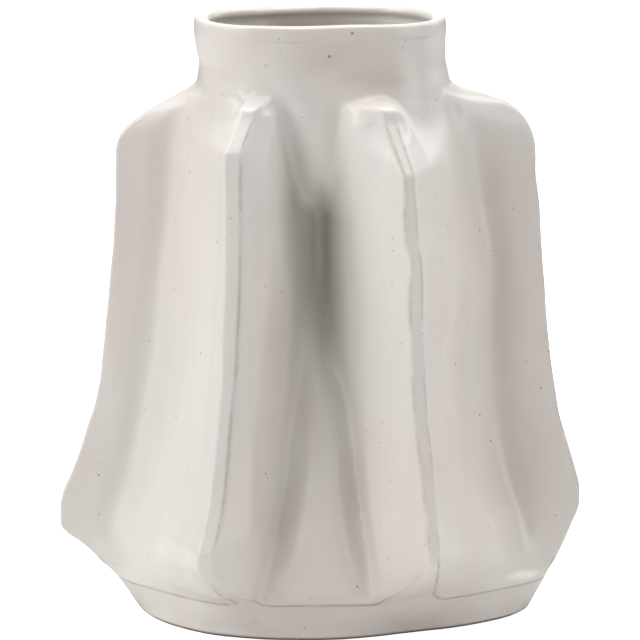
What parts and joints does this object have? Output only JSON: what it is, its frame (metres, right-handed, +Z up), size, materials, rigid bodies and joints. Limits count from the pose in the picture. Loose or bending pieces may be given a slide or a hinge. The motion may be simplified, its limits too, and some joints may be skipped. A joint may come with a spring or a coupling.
{
  "type": "vase",
  "caption": "Slab-built stoneware vase with upright fins, an oval neck and foot, and a glaze; holds cut flowers or stands alone as decoration.",
  "frame": {"origin": "on the table, under the middle of the vase", "axes": "+Z up through the mouth, +X to the right of the picture along the vase's width, +Y away from the picture's camera"},
  "size_m": [0.2605, 0.1872, 0.3],
  "materials": {
    "glaze": "warm off-white semi-gloss glaze with fine dark specks, thin and browner on sharp edges",
    "bare_clay": "bare fired stoneware, matt and slightly sandy"
  },
  "bodies": {
    "root": {"front_panel": "glaze", "right_front_panel": "glaze", "right_back_panel": "glaze", "back_panel": "glaze", "left_back_panel": "glaze", "left_front_panel": "glaze", "foot_band": "glaze", "neck_collar": "glaze", "rim_lip": "glaze", "base_slab": "bare_clay"}
  },
  "joints": []
}
